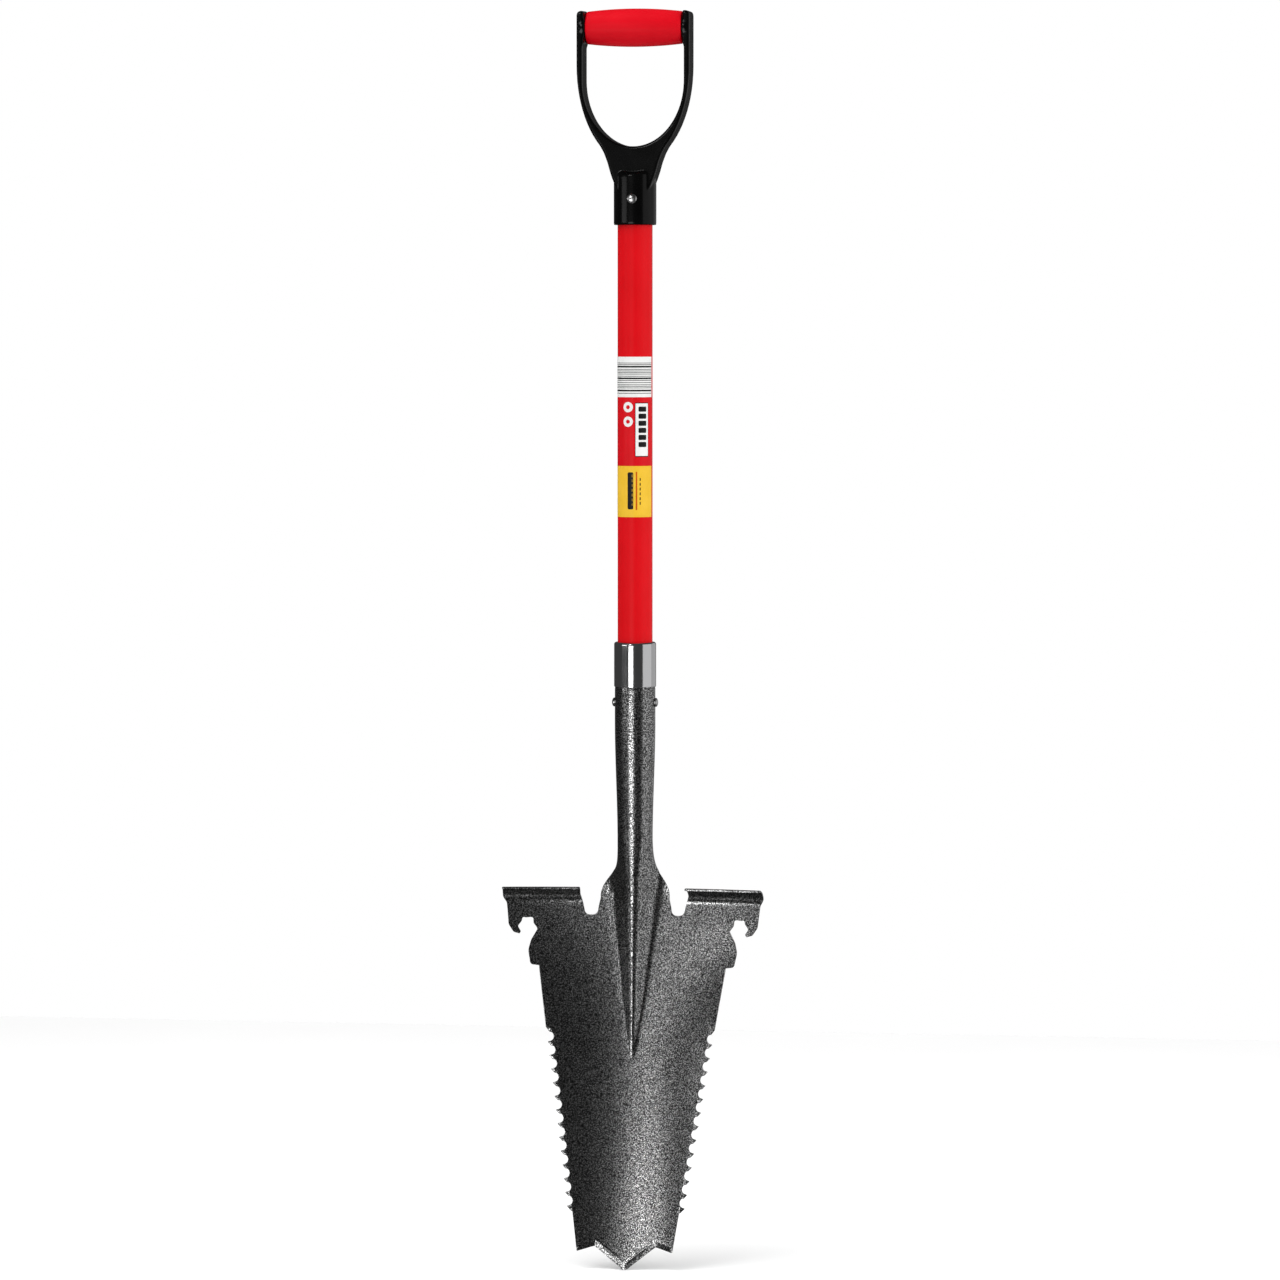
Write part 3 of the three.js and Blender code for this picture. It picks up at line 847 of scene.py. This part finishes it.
def label_fields(white, red, yellow):
    for name, box, field_ink, slot in (
        ("label_lower", LABEL_LOW, yellow, "label_yellow"),
        ("label_middle", LABEL_MID, red, "label_red"),
        ("label_upper", LABEL_TOP, white, "label_white"),
    ):
        field = plate(LABEL_FROM, LABEL_TO, box[0][2], box[1][2], 0)
        film(name + "_film", field, LABEL_R, FILM, field_ink, [name], slot)


def label_bars(black):
    """Plain bars across the white field, their widths and spaces from a formula and not from any code."""
    z, k = LABEL_TOP[0][2] + 3.0, 0
    while z < LABEL_TOP[1][2] - 4.2:
        wide = 0.5 + 0.9 * (math.sin(2.1 * k) > 0.2) * (math.sin(1.1 * k) > -0.4)
        ink(f"bar_{k:02d}", plate(LABEL_FROM + 6, LABEL_TO - 2, z, z + wide, 0), 0, black, "label_white")
        z += wide + 0.8 + 0.5 * (math.sin(1.7 * k + 0.5) > 0.4)
        k += 1


def label_discs(white, red, black):
    """Two discs with a dot, and beside them an upright plate with plain blocks."""
    for k, height in enumerate(DISCS):
        centre = (around(-15), height)
        ink(f"disc_{k}", np.array(arc(centre, DISC_R, 0, 350, 35)), 0, white, "label_white")
        ink(f"dot_{k}", np.array(arc(centre, DOT_R, 0, 350, 35)), 1, red, "label_red")
    ink("plate_edge", plate(9.0, 56.5, PLATE_LOW - 0.7, PLATE_HIGH + 0.7, 0.7), 0, black, "label_white")
    ink("plate_white", plate(10.5, 55, PLATE_LOW, PLATE_HIGH, 0.4), 1, white, "label_white")
    for k in range(BLOCKS):
        z = BLOCKS_FROM + BLOCK_STEP * k
        ink(f"block_{k}", plate(20, 48, z, z + BLOCK_HIGH, 1.0), 2, black, "label_white")


def label_marks(black, orange):
    """The yellow field: a plain dark bar, a thin line beside it and a fine dotted column."""
    ink("mark_bar", plate(-16, 3, MARK_LOW, MARK_HIGH, 1.2), 0, black, "label_yellow")
    ink("mark_line", plate(11, 16, MARK_LOW - 0.4, MARK_HIGH + 0.4, 0.2), 0, orange, "label_yellow")
    for k in range(DOTS):
        z = DOTS_FROM + DOT_STEP * k
        ink(f"mark_dot_{k}", plate(24, 27.5, z, z + DOT_HIGH, 0.2), 0, black, "label_yellow")


def labels():
    white = printed("label_white", (0.64, 0.65, 0.64), (0.70, 0.70, 0.69))
    red = printed("label_red", (0.50, 0.0, 0.004), (0.54, 0.0, 0.006))
    yellow = printed("label_yellow", (0.66, 0.40, 0.02), (0.70, 0.43, 0.03))
    black = printed("label_ink", (0.006, 0.006, 0.006), (0.010, 0.010, 0.010))
    orange = printed("label_orange", (0.40, 0.06, 0.0), (0.46, 0.08, 0.002))
    label_fields(white, red, yellow)
    label_bars(black)
    label_discs(white, red, black)
    label_marks(black, orange)


# ---- stage ----

# The camera stands a little to the right of the front, level with a point three quarters of the way up.
CAMERA_TURN = 9.0
CAMERA_FAR = 5000.0
CAMERA_HIGH = 806.9
FRAME_WIDE = 1280 * 0.8369  # width of the picture at the shaft
AIM_HIGH = 523.0
AIM_ASIDE = 4.1
SENSOR = 36.0
FLOOR_HALF = 1.6  # metres


def direction(degrees):
    """A level direction from the object, in degrees to the right of the camera's."""
    a = math.radians(CAMERA_TURN + degrees)
    return Vector((math.sin(a), -math.cos(a), 0))


def camera():
    data = bpy.data.cameras.new("camera")
    cam = bpy.data.objects.new("camera", data)
    bpy.context.scene.collection.objects.link(cam)
    axis = Vector((0, AXIS_Y, 0))
    right = Vector((math.cos(math.radians(CAMERA_TURN)), math.sin(math.radians(CAMERA_TURN)), 0))
    place = axis + direction(0) * CAMERA_FAR + right * AIM_ASIDE + Vector((0, 0, CAMERA_HIGH))
    aim = axis + right * AIM_ASIDE + Vector((0, 0, AIM_HIGH))
    cam.location = place * MM
    cam.rotation_euler = (aim - place).to_track_quat("-Z", "Y").to_euler()
    data.sensor_width = SENSOR
    data.lens = SENSOR * CAMERA_FAR / FRAME_WIDE
    data.clip_end = 100
    bpy.context.scene.camera = cam


def panel(name, turn, rise, far, radiance, diffuse=False):
    """A soft light between two turns (degrees to the right of the camera) and two rises, far metres away."""
    a, b = direction(turn[0]) * far, direction(turn[1]) * far
    low, high = (AIM_HIGH * MM + far * math.tan(math.radians(r)) for r in rise)
    data = bpy.data.lights.new(name, "AREA")
    data.shape = "RECTANGLE"
    data.size = (b - a).length
    data.size_y = high - low
    data.energy = radiance * math.pi * data.size * data.size_y
    light = bpy.data.objects.new(name, data)
    light.location = (a + b) / 2 + Vector((0, AXIS_Y * MM, (low + high) / 2))
    light.rotation_euler = ((a + b) / 2).to_track_quat("Z", "Y").to_euler()
    light.visible_camera = False
    light.visible_diffuse = diffuse
    light.visible_glossy = not diffuse
    bpy.context.scene.collection.objects.link(light)


def overhead(radiance):
    data = bpy.data.lights.new("overhead", "AREA")
    data.shape = "RECTANGLE"
    data.size, data.size_y = 1.6, 1.6
    data.energy = radiance * math.pi * data.size * data.size_y
    light = bpy.data.objects.new("overhead", data)
    light.location = Vector((-0.9, -0.6, 2.6))
    light.visible_glossy = False
    light.rotation_euler = (light.location - Vector((0, 0, 0.4))).to_track_quat("Z", "Y").to_euler()
    light.visible_camera = False
    bpy.context.scene.collection.objects.link(light)


def room():
    """A white room that lights everything but that gloss sees as dim, so that the panels draw the form."""
    world = bpy.data.worlds.new("world")
    bpy.context.scene.world = world
    world.use_nodes = True
    tree = world.node_tree
    background = tree.nodes["Background"]
    path = tree.nodes.new("ShaderNodeLightPath")
    diffuse_or_glossy = tree.nodes.new("ShaderNodeMix")
    diffuse_or_glossy.inputs["A"].default_value = 0.8
    diffuse_or_glossy.inputs["B"].default_value = 0.05
    tree.links.new(path.outputs["Is Glossy Ray"], diffuse_or_glossy.inputs["Factor"])
    or_camera = tree.nodes.new("ShaderNodeMix")
    or_camera.inputs["B"].default_value = 1.0
    tree.links.new(path.outputs["Is Camera Ray"], or_camera.inputs["Factor"])
    tree.links.new(diffuse_or_glossy.outputs["Result"], or_camera.inputs["A"])
    tree.links.new(or_camera.outputs["Result"], background.inputs["Strength"])
    background.inputs["Color"].default_value = (1, 1, 1, 1)


def studio():
    room()
    panel("key_high", (-35, -20), (16, 23), 6, 8)
    panel("key_side", (-75, -47), (0, 4.5), 6, 3.0)
    panel("key_low", (-35, -12), (-18, -2.6), 6, 4.5)
    panel("side", (43, 100), (-25, 25), 6, 0.6)
    panel("far_side", (100, 155), (-25, 25), 6, 0.4)
    panel("foot", (-60, 60), (-48, -32), 6, 0.3)
    panel("fill", (15, 85), (-5, 40), 3, 1.5, True)
    overhead(4.2)
    bpy.context.scene.view_settings.view_transform = "Standard"


def floor():
    mesh = bpy.data.meshes.new("floor")
    corners = [(x * FLOOR_HALF, y * FLOOR_HALF, 0) for x, y in ((-1, -1), (1, -1), (1, 1), (-1, 1))]
    mesh.from_pydata(corners, [], [(0, 1, 2, 3)])
    obj = bpy.data.objects.new("floor", mesh)
    bpy.context.scene.collection.objects.link(obj)
    m = Nodes("pale_floor")
    cloud = m.noise(3, 2.0)
    m.colour(m.ramp(cloud, (0.3, grey(0.96)), (0.7, grey(0.98))))
    m.set(Roughness=0.8, Specular_IOR_Level=0.2)
    obj.data.materials.append(m.material)
    obj.visible_glossy = False


blade()
shaft()
ferrule()
rivet("socket_pin", SOCKET_PIN_LOW, SOCKET_PIN_HIGH, 0, SOCKET_HEAD_R, SOCKET_R + HEAD_GAP, "socket_rivet")
rivet("handle_pin", PIN_LOW, PIN_HIGH, 1, HANDLE_HEAD_R, YOKE_R + HEAD_GAP, "handle_rivet")
yoke()
grip()
labels()
cores()
camera()
floor()
studio()
